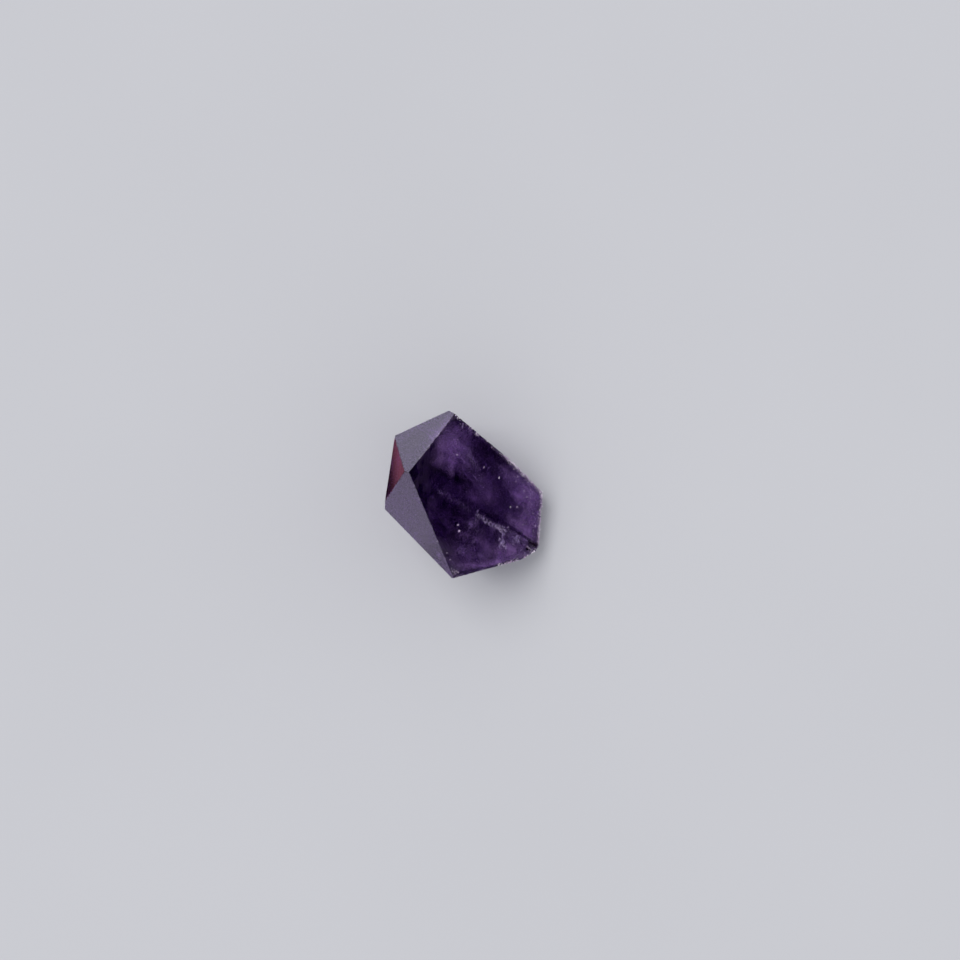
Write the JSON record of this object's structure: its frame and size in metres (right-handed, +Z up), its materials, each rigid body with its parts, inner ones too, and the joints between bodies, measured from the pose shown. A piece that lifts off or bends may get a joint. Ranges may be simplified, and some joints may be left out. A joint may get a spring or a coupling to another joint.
{
  "type": "amethyst point",
  "caption": "Clear purple quartz point with polished, uneven tip faces, rough natural sides and a flat cut bottom, a solid display stone that stands tip up.",
  "frame": {"origin": "on the flat cut bottom, under the middle of the crystal's bounding box", "axes": "+Z up along the crystal's long axis towards the tip; the largest tip face looks towards -Y"},
  "size_m": [0.0528, 0.0532, 0.068],
  "materials": {
    "amethyst": "clear deep purple quartz, polished on the tip faces, ground and rough on the sides and bottom"
  },
  "bodies": {
    "root": {"amethyst_point": "amethyst"}
  },
  "joints": []
}
